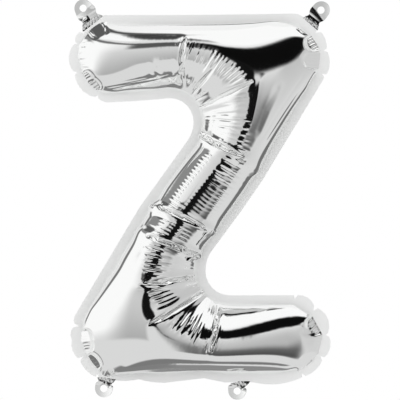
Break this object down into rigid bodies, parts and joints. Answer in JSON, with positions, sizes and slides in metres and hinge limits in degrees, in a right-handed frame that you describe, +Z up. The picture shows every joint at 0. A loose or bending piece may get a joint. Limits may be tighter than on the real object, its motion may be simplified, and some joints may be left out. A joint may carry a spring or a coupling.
{
  "type": "letter foil balloon",
  "caption": "Air-filled silver foil balloon in the shape of a letter Z, two film panels sealed at a scalloped margin with hanging tabs.",
  "frame": {"origin": "middle of the letter, in the plane of the seam", "axes": "X to the right as the letter is read, Y from the front panel to the back panel, Z up"},
  "size_m": [0.2328, 0.069, 0.3564],
  "materials": {
    "silver_foil": "mirror-bright metallised film, taut and finely wrinkled",
    "sealed_foil": "heat-sealed metallised film, flat, slightly duller"
  },
  "bodies": {
    "root": {"front_panel": "silver_foil", "back_panel": "silver_foil", "seam_margin": "sealed_foil", "hanging_tab_top_left": "sealed_foil", "hanging_tab_top_right": "sealed_foil", "hanging_tab_bottom_left": "sealed_foil", "hanging_tab_bottom_middle": "sealed_foil"}
  },
  "joints": []
}
